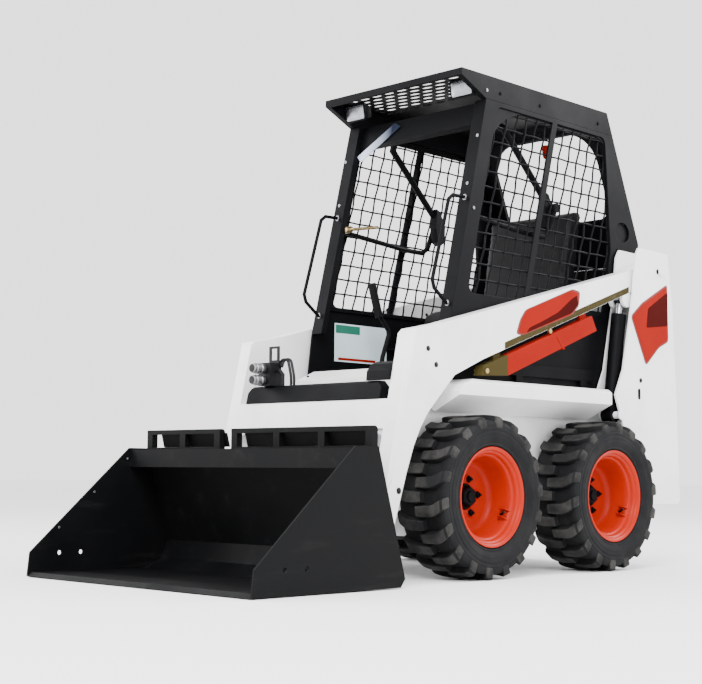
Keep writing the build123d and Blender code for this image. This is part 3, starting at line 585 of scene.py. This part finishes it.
SCREEN_OUTLINE = [(post_y(SCREEN_LOW, 60), SCREEN_LOW), (post_y(SCREEN_HIGH, 60), SCREEN_HIGH),
                  (rear_y(SCREEN_HIGH, -50), SCREEN_HIGH), (892, 1260), (842, SCREEN_LOW)]


def span_in(outline, point, direction):
    """Where the line through point along direction enters and leaves a convex outline."""
    low, high = -1e9, 1e9
    turning = sum(a[0] * b[1] - b[0] * a[1] for a, b in zip(outline, outline[1:] + outline[:1]))
    for a, b in zip(outline, outline[1:] + outline[:1]):
        normal = (b[1] - a[1], a[0] - b[0]) if turning > 0 else (a[1] - b[1], b[0] - a[0])
        speed = direction[0] * normal[0] + direction[1] * normal[1]
        gap = (a[0] - point[0]) * normal[0] + (a[1] - point[1]) * normal[1]
        if abs(speed) < 1e-9:
            continue
        if speed > 0:
            high = min(high, gap / speed)
        else:
            low = max(low, gap / speed)
    return low, high


def wire(mesh, foot, direction, high_side):
    """A wire across the opening. high_side says how far out it passes at a place, from -1 to 1."""
    low, high = span_in(SCREEN_OUTLINE, foot, direction)
    if high - low < 30:
        return
    steps = max(2, int((high - low) / WIRE_STEP))
    path = []
    for step in range(steps + 1):
        t = low + (high - low) * step / steps
        y, z = foot[0] + t * direction[0], foot[1] + t * direction[1]
        path.append((SCREEN_X + WIRE_WAVE * high_side(y, z), y, z))
    mesh.tube(path, WIRE_RADIUS, 8)


def screens():
    """Woven wire: each wire passes over and under the ones it crosses."""
    woven = Mesh()
    for row in range(13):
        z = FIRST_ROW + row * WIRE_PITCH
        if z <= SCREEN_HIGH - 4:
            wire(woven, (0, z), (1, 0), lambda y, z: cos(
                pi * (y - FIRST_COLUMN - (z - SCREEN_LOW) * WIRE_LEAN) / WIRE_PITCH + pi * row))
    length = sqrt(1 + WIRE_LEAN ** 2)
    for column in range(-4, 16):
        foot = (FIRST_COLUMN + column * WIRE_PITCH, SCREEN_LOW)
        wire(woven, foot, (WIRE_LEAN / length, 1 / length),
             lambda y, z: -cos(pi * (z - FIRST_ROW) / WIRE_PITCH + pi * column))
    outer, inner = SCREEN_OUTLINE, inset(SCREEN_OUTLINE, (460, 1340), 0.968)
    points = [(x, y, z) for x, edge in ((341.6, outer), (341.6, inner), (334.8, inner), (334.8, outer))
              for y, z in edge]
    count = len(outer)
    faces = []
    for ring in range(4):
        here, ahead = ring * count, (ring + 1) % 4 * count
        faces += [(here + k, here + (k + 1) % count, ahead + (k + 1) % count, ahead + k) for k in range(count)]
    woven.add(points, faces)
    made = woven.mirrored().piece("woven_screens", "chassis", "black_paint", smooth=60)
    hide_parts("side_screens")


screens()


def roof_screen():
    """Sheet with staggered oval slots. Each cell is a rectangle with a slot cut out."""
    (x0, y0, z0), (x1, y1, z1) = box_mm("roof_screen")
    sheet = Mesh()
    rows, columns, turns = 7, 9, 20
    step_y, step_x = (y1 - y0) / rows, (x1 - x0) / columns
    for row in range(rows):
        middle_y = y0 + step_y * (row + 0.5)
        for column in range(columns + row % 2):
            middle_x = x0 + step_x * (column + 0.5 - (row % 2) / 2)
            left, right = max(middle_x - step_x / 2, x0), min(middle_x + step_x / 2, x1)
            middle_x, width = (left + right) / 2, right - left
            slot = width * (0.30 if width < step_x * 0.9 else 0.40)
            outer, inner = [], []
            for c, s in circle(turns):
                reach = 0.5 / max(abs(c), abs(s))
                outer.append((middle_x + c * reach * width, middle_y + s * reach * step_y))
                inner.append((middle_x + c * slot, middle_y + s * step_y * 0.335))
            points = [(x, y, z) for z in (z0, z1) for ring in (outer, inner) for x, y in ring]
            faces = []
            for k in range(turns):
                n = (k + 1) % turns
                faces += [(k, n, turns + n, turns + k),
                          (2 * turns + k, 3 * turns + k, 3 * turns + n, 2 * turns + n),
                          (turns + k, turns + n, 3 * turns + n, 3 * turns + k)]
            sheet.add(points, faces)
    made = sheet.piece("slotted_sheet", "chassis", "black_paint", smooth=0)
    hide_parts("roof_screen")


roof_screen()


# ------------------------------------------------------------------- lamps, cab
def lamp_lenses():
    """Bright ribbed lens in a dark surround on each lamp."""
    lens, surround = Mesh(), Mesh()
    centre, tilt = Vector((273, 45, 1768)), radians(80)
    ahead = Vector((0, -sin(tilt), -cos(tilt)))
    up = Vector((0, -cos(tilt), sin(tilt)))
    across = Vector((1, 0, 0))

    def outline(half_x, half_z, depth, corner):
        ring = rounded([(-half_x, -half_z), (half_x, -half_z), (half_x, half_z), (-half_x, half_z)], corner)
        return [centre + across * a + up * b + ahead * depth for a, b in ring]

    surround.strips([outline(54, 34, -14, 9), outline(54, 34, 2, 9), outline(52.5, 32.5, 3.4, 9),
                     outline(48.5, 28.5, 3.4, 8), outline(47.5, 27.5, 0.5, 8)])
    lens.strips([outline(48, 28, 0.6, 8), outline(47, 27, 1.8, 8), outline(32, 17, 3.2, 8)])
    for place in (-24, -12, 0, 12, 24):
        rib = centre + across * place + ahead * 1.4
        lens.rod(rib - up * 21, rib + up * 21, 2.2, 8)
    lens.mirrored().piece("lamp_lenses", "chassis", "lamp", LENS, smooth=30)
    surround.mirrored().piece("lamp_surrounds", "chassis", "lamp", MATERIALS["black_paint"])


lamp_lenses()
CAB_SIDE = 350


def cab_fasteners():
    """Dark bolts on the cab's sides, bright screws on its sides and on the fronts of its posts."""
    bolts = Mesh()
    for y, z in ((320, 1018), (560, 1018), (760, 1018), (930, 1262), (800, 1760), (420, 1760), (180, 1760)):
        bolts.bolt((CAB_SIDE, y, z), (1, 0, 0), 5.5, 4)
    bolts.mirrored().piece("cab_bolts", "chassis", "black_paint", smooth=30)
    bright = Mesh()
    for y, z in ((24, 1311), (99, 1757)):
        bright.bolt((CAB_SIDE, y, z), (1, 0, 0), 4.5, 3)
    for x, z, radius, height in ((338, 1584, 4.5, 3), (327, 1402, 4.5, 3), (325, 1350, 8, 4),
                                 (325, 958, 8, 4)):
        bright.bolt((x, post_y(z, -1), z), (0, -1, 0), radius, height)
    bright.mirrored().piece("cab_screws", "chassis", "dark_steel", ZINC, smooth=30)


cab_fasteners()


def corner_ring(half, low, high, radii, steps=8):
    """Closed (x, z) ring with its own radius at the foot and at the head."""
    foot, head = radii
    ring = []
    for right, top, first in ((1, 1, 0), (-1, 1, 90), (-1, -1, 180), (1, -1, 270)):
        radius = head if top > 0 else foot
        x = right * (half - radius)
        z = high - radius if top > 0 else low + radius
        for step in range(steps + 1):
            turn = radians(first + 90 * step / steps)
            ring.append((x + radius * cos(turn), z + radius * sin(turn)))
    return ring


def cab_openings():
    """Rounds the corners of the rear window and of the side openings, and closes the round holes."""
    window = Mesh()
    outer = corner_ring(279, 1398, 1768, (60, 60))
    inner = corner_ring(262, 1416, 1758, (52, 128))
    window.strips([[(x, rear_y(z, depth), z) for x, z in ring] for ring, depth in
                   ((outer, -16.2), (outer, -21), (inner, -21), (inner, -11))], caps=(False, False))
    window.piece("rear_window_frame", "chassis", "black_paint", smooth=40)
    seal = Mesh()
    path = [(x, rear_y(z, -7.5), z) for x, z in corner_ring(266, 1410, 1760, (56, 84), steps=6)]
    seal.tube(path + path[:1], 5, 8)
    seal.piece("rear_window_seal", "chassis", "grip_rubber", smooth=60)
    corner = Mesh()
    corner.prism([(118, 1545), (133, 1580), (150, 1612), (180, 1645), (213, 1668), (251, 1687), (290, 1701),
                  (330, 1712), (330, 1722), (150, 1722)], 342, 345)
    corner.prism([(rear_y(1712, -66), 1722), (rear_y(1712, -150), 1722), (rear_y(1712, -140), 1712),
                  (rear_y(1690, -88), 1696), (rear_y(1650, -70), 1660), (rear_y(1600, -62), 1600),
                  (rear_y(1600, -50), 1600)], 342, 345)
    corner.mirrored().piece("opening_corners", "chassis", "black_paint", smooth=30)
    covers = Mesh()
    covers.prism([(964 + 60 * c, 1338 + 52 * s) for c, s in circle(28)], 338.6, 341.4)
    covers.mirrored().piece("hole_covers", "chassis", "black_paint", smooth=30)
    pull = Mesh()
    ring = rounded([(6, 1681), (42, 1678), (48, 1732), (12, 1735)], 10)
    pull.strips([[(x, rear_y(z, depth), z) for x, z in ring] for depth in (-26, -21.5)])
    pull.piece("window_pull", "chassis", "orange_paint", smooth=30, bevel=1.0)


cab_openings()


def seat_bar_details():
    """Brass knob on a rod at the bar's free end."""
    knob = Mesh()
    foot = Vector((-300, 60, 1310))
    knob.rod((-300, 206, 1337), foot, 6, 14)
    knob.strips([around(foot + Vector((0, -44, -8)) * share, Vector((1, 0, 0)), Vector((0, 0, 1)), r, 18)
                 for share, r in ((0.0, 4), (0.04, 11), (0.18, 14), (0.6, 14.5), (0.9, 13), (1.0, 8))])
    knob.piece("seat_bar_knob", "seat_bar", "dark_steel", BRASS, smooth=40)


def sheen():
    """A painted reflection: pale at its lower end and dark blue at its upper end."""
    shader = Shader("sheen", (0.5, 0.6, 0.7), 0.25, Specular_IOR_Level=0.3)
    parts = shader.node("ShaderNodeSeparateXYZ")
    shader.link(shader.place, parts.inputs[0])
    share = shader.ramp(parts.outputs["X"], -0.285, -0.13)
    shader.color(shader.mix(share, (0.50, 0.58, 0.72), (0.010, 0.014, 0.030)))
    return shader.material


def header_brace():
    """Flat brace between the far post and the header, made bright by a painted reflection along it."""
    streak = Mesh()
    ring = [(-300, 1603), (-274, 1578), (-88, 1697), (-122, 1716)]
    streak.strips([[(x, post_y(z, depth), z) for x, z in ring] for depth in (19.5, 22.5)])
    streak.piece("header_brace", "chassis", "black_paint", sheen(), smooth=0, bevel=0.5)


# ---------------------------------------------------------------------- badges
ARM_BADGE = [(154, 859), (176, 912), (208, 951), (498, 1055), (546, 1049), (537, 994), (494, 957), (190, 856)]
ARM_SHADE = [(214, 868), (232, 888), (300, 914), (404, 958), (486, 1014), (522, 1032), (532, 1000), (492, 964)]
REAR_BADGE = [(1123, 1133), (938, 1040), (861, 982), (964, 792), (1059, 870), (1128, 898)]
REAR_INSET = [(967, 944), (1119, 962), (1122, 1100), (980, 1022)]
ARM_SIDE, TOWER_SIDE = 439, 455
ORANGE = MATERIALS["orange_paint"]


def badges():
    """Blank badges: a deep red edge, an orange field and a dark red part, with nothing written."""
    arm_field = inset(ARM_BADGE, (350, 952), 0.93)
    rear_field = inset(REAR_BADGE, (1020, 960), 0.93)
    for side_name, side in SIDES:
        for name, body, slot, material, outline, x, thickness, corner, bevel in (
                ("arm_badge_edge", "lift_arm", "orange_paint", DEEP_RED, ARM_BADGE, ARM_SIDE, 1.2, 14, 0.6),
                ("arm_badge", "lift_arm", "orange_paint", ORANGE, arm_field, ARM_SIDE, 2.0, 12, 0.6),
                ("arm_badge_shade", "lift_arm", "orange_paint", DARK_RED, ARM_SHADE, ARM_SIDE, 2.4, 6, 0.3),
                ("rear_badge", "chassis", "orange_paint", DEEP_RED, REAR_BADGE, TOWER_SIDE, 2.0, 16, 0.6),
                ("rear_badge_face", "chassis", "orange_paint", ORANGE, rear_field, TOWER_SIDE, 3.2, 14, 0.6),
                ("rear_badge_inset", "chassis", "black_paint", DARK_RED, REAR_INSET, TOWER_SIDE, 4.2, 8, 0.6)):
            made = Mesh()
            made.prism(rounded(outline, corner), side * x, side * (x + thickness))
            made.piece(f"{name}_{side_name}", body, slot, material, smooth=30, bevel=bevel)


badges()


def inner_plates():
    """Blank instruction plate on the inside of the far cab wall."""
    sign = Mesh()
    sign.block(-341.6, -340.4, 10, 305, 790, 940)
    sign.piece("blank_plate", "chassis", "white_paint", PALE, smooth=0, bevel=0.4)
    band = Mesh()
    band.block(-340.4, -339.9, 16, 150, 902, 934)
    band.piece("blank_plate_band", "chassis", "white_paint", GREEN, smooth=0)
    line = Mesh()
    line.block(-340.4, -339.9, 30, 240, 796, 806)
    line.piece("blank_plate_line", "chassis", "orange_paint", smooth=0)


inner_plates()


# ------------------------------------------------------------------ lift arms
def arm_edge(y, above):
    """A height above the arm's lower edge."""
    return 757 + (y + 30) * (1077 - 757) / 908 + above


def arm_details():
    # Olive band on the arm's outer face along its lower edge: painted shade of the arm's underside, with some
    # dirt.
    band = Mesh()
    first, last = 90, 872
    band.strips([[(439.9, y, arm_edge(y, 1)), (439.9, y, arm_edge(y, 25))] for y in (first, last)],
                closed=False, caps=(False, False))
    band.prism([(first, arm_edge(first, 1)), (last, arm_edge(last, 1)), (last, arm_edge(last, 25)),
                (first, arm_edge(first, 25))], ARM_SIDE, ARM_SIDE + 1)
    band.mirrored().piece("arm_edge_band", "lift_arm", "white_paint", OLIVE, smooth=0)
    bolts = Mesh()
    for y, z, radius in ((-320, 775, 7), (-279, 723, 7), (-461, 301, 8)):
        bolts.bolt((ARM_SIDE, y, z), (1, 0, 0), radius, 5)
    bolts.mirrored().piece("arm_bolts", "lift_arm", "dark_steel", smooth=30)
    clip = Mesh()
    clip.prism([(384, 868), (394, 872), (440, 824), (430, 820)], 404, 446.5)
    clip.piece("strut_clip", "lift_arm", "orange_paint", smooth=0, bevel=1.5)
    pin = Mesh()
    pin.rod((398, -22, 716), (452, -22, 716), 9, 18)
    pin.rod((438, 350, 884), (447, 350, 884), 9, 18)
    pin.piece("strut_pin", "lift_arm", "dark_steel", BRASS, smooth=32)


arm_details()
NODES["cutting_edge"].data.materials[0] = MATERIALS["bucket_paint"]
NODES["arm_strut"].data.materials[0] = split_by_place(OLIVE, ORANGE, "Y", 0.101)


def tower_details():
    marks = Mesh()
    for y, z, r in ((1057, 1178, 8), (926, 731, 7)):
        marks.bolt((TOWER_SIDE, y, z), (1, 0, 0), r, 5)
    marks.mirrored().piece("tower_bolts", "chassis", "dark_steel", smooth=30)
    slot_mark = Mesh()
    ring = rounded([(906, 655), (924, 655), (924, 698), (906, 698)], 9)
    slot_mark.prism(ring, TOWER_SIDE, TOWER_SIDE + 0.6)
    slot_mark.mirrored().piece("tower_slots", "chassis", "black_paint", smooth=0)


tower_details()


def sill_details():
    """Dark oval on the sill's front."""
    oval = Mesh()
    ring = [(-268 + 9 * c, 707 + 13 * s) for c, s in circle(24)]
    oval.strips([[(x, y, z) for x, z in ring] for y in (-199, -201)])
    oval.piece("sill_oval", "chassis", "black_paint", smooth=30)


# ---------------------------------------------------------------------- bucket
def bucket_details():
    """Rivets along the edges of the side plates, and the backing of the rails on top."""
    rivets = Mesh()
    for y, z in ((-770, 428), (-803, 401), (-943, 284), (-1085, 164)):
        rivets.bolt((563.6, y, z), (-1, 0, 0), 5, 2.4, washer=False)
    rivets.mirrored().piece("plate_rivets", "bucket", "dark_steel", ZINC, smooth=0)
    backing = Mesh()
    for x0, x1 in ((-505, -150), (-50, 545)):
        backing.prism([(-688, 443), (-676, 443), (-690, 491), (-701, 491)], x0, x1)
    backing.piece("rail_backing", "bucket", "bucket_paint", smooth=0, bevel=2.0)


bucket_details()
header_brace()
seat_bar_details()
sill_details()


# --------------------------------------------------------- hydraulics and rear
COUPLER_PROFILE = [(-456, 15), (-462, 18), (-474, 18), (-476, 16), (-480, 16), (-482, 19.5),
                   (-498, 19.5), (-500, 17), (-511, 17), (-513, 14.5), (-514.5, 10)]


def auxiliary_block():
    """Couplers with collars, hexagon unions and two short steel pipes."""
    couplers, unions, pipes = Mesh(), Mesh(), Mesh()
    across, up = Vector((1, 0, 0)), Vector((0, 0, 1))
    for z in (686, 728):
        couplers.strips([around(Vector((-230, y, z)), across, up, r, 24) for y, r in COUPLER_PROFILE])
        unions.strips([around(Vector((-230, y, z)), across, up, 17, 6) for y in (-459, -448)])
    couplers.piece("auxiliary_couplers", "lift_arm", "dark_steel", ZINC)
    unions.piece("auxiliary_unions", "lift_arm", "dark_steel", smooth=0, bevel=1.0)
    for x in (-212, -196):
        path = [(x, -400, 735), (x + 4, -392, 764), (x + 40, -392, 764), (x + 58, -392, 700),
                (x + 58, -392, 668)]
        pipes.tube(bent(path, 26), 5, 12)
    for x in (-212, -196):
        pipes.bolt((x, -402, 738), (0, 0, 1), 9, 12, washer=False)
    pipes.piece("auxiliary_pipes", "lift_arm", "dark_steel", smooth=40)


auxiliary_block()


def cylinder_details():
    """A feed pipe with a union at each end on every cylinder."""
    for node in ("lift_barrel_left", "lift_barrel_right", "tilt_barrel"):
        low, high = box_mm(node)
        if node == "tilt_barrel":
            x, (base, eye), toward = 0, ((-285, 593), (-546, 294)), -1
        else:
            x, (base, eye), toward = 405 if node.endswith("left") else -405, ((785, 590), (862, 1050)), 1
        start = Vector((x, *base))
        ahead = (Vector((x, *eye)) - start).normalized()
        length = (high[2] - low[2]) / abs(ahead.z) - 30
        back = Vector((0, ahead.z, -ahead.y)) * toward
        pipe = Mesh()
        a = start + ahead * 52 + back * 29
        b = start + ahead * (length - 34) + back * 29
        pipe.tube(bent([a, a + back * 12, b + back * 12, b], 10), 5, 12)
        for foot in (a, b):
            pipe.rod(foot - back * 3, foot + back * 8, 10, 16)
        pipe.piece(node + "_pipe", node, "dark_steel", smooth=40)


cylinder_details()


def rear_details():
    """Tail lamps, latch and a blank plate on the louvred door."""

    def on_door(low_x, high_x, low_z, high_z, corner, depths):
        ring = rounded([(low_x, low_z), (high_x, low_z), (high_x, high_z), (low_x, high_z)], corner)
        return [[(x, face(z) + depth, z) for x, z in ring] for depth in depths]

    def face(z):
        return 1206 - (z - 300) * 38 / 792

    latch = Mesh()
    latch.strips(on_door(-322, -292, 690, 790, 12, (-1, 4)))
    latch.rod((-307, face(758) + 3, 758), (-307, face(758) + 9, 758), 11, 20)
    latch.piece("door_latch", "rear_door", "dark_steel", smooth=30, bevel=0.8)
    for side_name, side in SIDES:
        lamp = Mesh()
        lamp.strips(on_door(side * 210, side * 300, 985, 1035, 12, (-1, 7)))
        lamp.piece(f"tail_lamp_{side_name}", "rear_door", "orange_paint", DEEP_RED, smooth=30, bevel=2.0)
    blank = Mesh()
    blank.strips(on_door(-140, 140, 965, 1040, 8, (-1, 1)))
    blank.piece("door_blank_plate", "rear_door", "black_paint", smooth=0)


rear_details()


HOUSING_PROFILE = [(300.3, 1), (300.3, 96), (312, 96), (312, 58), (384.5, 58), (384.5, 1)]


def axles():
    """Flanges with their bolts. The housings end before the discs that turn in front of them."""
    housings, bolts = Mesh(), Mesh()
    for name in ("tyre_front_left", "tyre_rear_left"):
        _, y, z = node_centre(name)
        housings.ring_x(HOUSING_PROFILE, (y, z), segments=48)
        for k in range(8):
            turn = 2 * pi * (k + 0.5) / 8
            bolts.bolt((312, y + 76 * sin(turn), z + 76 * cos(turn)), (1, 0, 0), 8, 6)
    made = housings.mirrored().piece("axle_housings_short", "chassis", "black_paint", smooth=32)
    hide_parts("axle_housings")
    bolts.mirrored().piece("axle_bolts", "chassis", "black_paint", smooth=30)


def fender_bolts():
    bolts = Mesh()
    for y in (-20, 160, 340, 520, 690):
        bolts.bolt((433.2, y, 668), (1, 0, 0), 6, 4)
    bolts.mirrored().piece("fender_bolts", "chassis", "dark_steel", smooth=30)


axles()
fender_bolts()


# ---------------------------------------------------------------------- seats
SWELL_FRAMES = 20


def cushion(node, outline, half, cap, name):
    """A padded cushion that swells by at most cap from a slightly smaller shape."""
    start = Mesh()
    start.prism(rounded(outline, 30), -half, half)
    made = start.piece(name, "chassis", "seat_vinyl", smooth=60)
    scene = bpy.context.scene
    remesh = made.modifiers.new("remesh", "REMESH")
    remesh.mode = "VOXEL"
    remesh.voxel_size = 0.006
    bpy.context.view_layer.objects.active = made
    apply_modifiers(made)
    before = [vertex.co.copy() for vertex in made.data.vertices]
    cloth = made.modifiers.new("cloth", "CLOTH")
    cloth.settings.use_pressure = True
    cloth.settings.uniform_pressure_force = 4.0
    cloth.settings.effector_weights.gravity = 0.0
    for number in range(1, SWELL_FRAMES + 1):
        scene.frame_set(number)
    apply_modifiers(made)
    for vertex, place in zip(made.data.vertices, before):
        shift = vertex.co - place
        if shift.length > cap:
            vertex.co = place + shift.normalized() * cap
    scene.frame_set(1)
    made.data.shade_smooth()
    fine = made.modifiers.new("fine", "SUBSURF")
    fine.levels = fine.render_levels = 1
    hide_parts(node)


def apply_modifiers(made):
    """Keeps the mesh as it is after its modifiers, and drops them."""
    graph = bpy.context.evaluated_depsgraph_get()
    mesh = bpy.data.meshes.new_from_object(made.evaluated_get(graph))
    old = made.data
    made.modifiers.clear()
    made.data = mesh
    bpy.data.meshes.remove(old)


def seats():
    """Both cushions start a little inside the boxes of the solids they replace."""
    low, high = box_mm("seat_cushion")
    y0, y1, z0, z1 = low[1] + 8, high[1] - 8, low[2] + 2, high[2] - 10
    cushion("seat_cushion", [(y0, z0), (y1, z0), (y1, z1 - 8), (y0 + 70, z1), (y0, z1 - 6)],
            high[0] - 9, 0.012, "seat_pad")
    low, high = box_mm("seat_back")
    y0, y1, z0, z1 = low[1] + 7, high[1] - 7, low[2] + 7, high[2] - 9
    lean = (y1 - y0) - 66
    middle = (y0 + lean * 0.45, (z0 + z1) / 2 + 10)
    cushion("seat_back", [(y0, z0), (y0 + 66, z0), (y1, z1), (y1 - 62, z1), middle],
            high[0] - 9, 0.010, "seat_back_pad")


seats()


# --------------------------------------------------------------------- stage
LIGHTS = (("key", (3.5, -4.5, 5.0), 3.5, 800), ("fill", (-5.0, -3.5, 3.2), 4.0, 260),
          ("rim", (2.5, 5.0, 4.5), 3.0, 420))  # name, place, size and power
LIT_POINT = Vector((0, 0, 0.8))
FLOOR_HALF = 40.0


def stage():
    """Plain pale floor, a white world and three soft lights."""
    corners = [(FLOOR_HALF * x, FLOOR_HALF * y, 0) for x, y in ((-1, -1), (1, -1), (1, 1), (-1, 1))]
    floor_mesh = bpy.data.meshes.new("floor")
    floor_mesh.from_pydata(corners, [], [(0, 1, 2, 3)])
    floor = bpy.data.objects.new("floor", floor_mesh)
    bpy.context.scene.collection.objects.link(floor)
    floor_mesh.materials.append(Shader("floor", (0.90, 0.90, 0.90), 0.8).material)

    world = bpy.data.worlds.new("studio")
    bpy.context.scene.world = world
    world.use_nodes = True
    background = world.node_tree.nodes["Background"]
    background.inputs["Color"].default_value = (1, 1, 1, 1)
    background.inputs["Strength"].default_value = 2.3

    for name, place, size, power in LIGHTS:
        light = bpy.data.lights.new(name, "AREA")
        light.energy = power
        light.size = size
        lamp = bpy.data.objects.new(name, light)
        lamp.location = place
        lamp.rotation_euler = (LIT_POINT - Vector(place)).to_track_quat("-Z", "Y").to_euler()
        bpy.context.scene.collection.objects.link(lamp)


def camera():
    """Low at the front left corner, looking a little upwards."""
    azimuth, pitch, roll = radians(44.7), radians(-5.2), radians(0.5)
    back = Vector((sin(azimuth) * cos(pitch), -cos(azimuth) * cos(pitch), sin(pitch)))
    right = Vector((cos(azimuth), sin(azimuth), 0))
    up = back.cross(right)
    rolled_right = right * cos(roll) + up * sin(roll)
    rolled_up = up * cos(roll) - right * sin(roll)
    data = bpy.data.cameras.new("camera")
    data.lens = 73.52
    data.sensor_width = 36
    made = bpy.data.objects.new("camera", data)
    turn = Matrix((rolled_right, rolled_up, back)).transposed().to_4x4()
    made.matrix_world = Matrix.Translation((3.6186, -3.900, 0.359)) @ turn
    bpy.context.scene.collection.objects.link(made)
    bpy.context.scene.camera = made


stage()
camera()
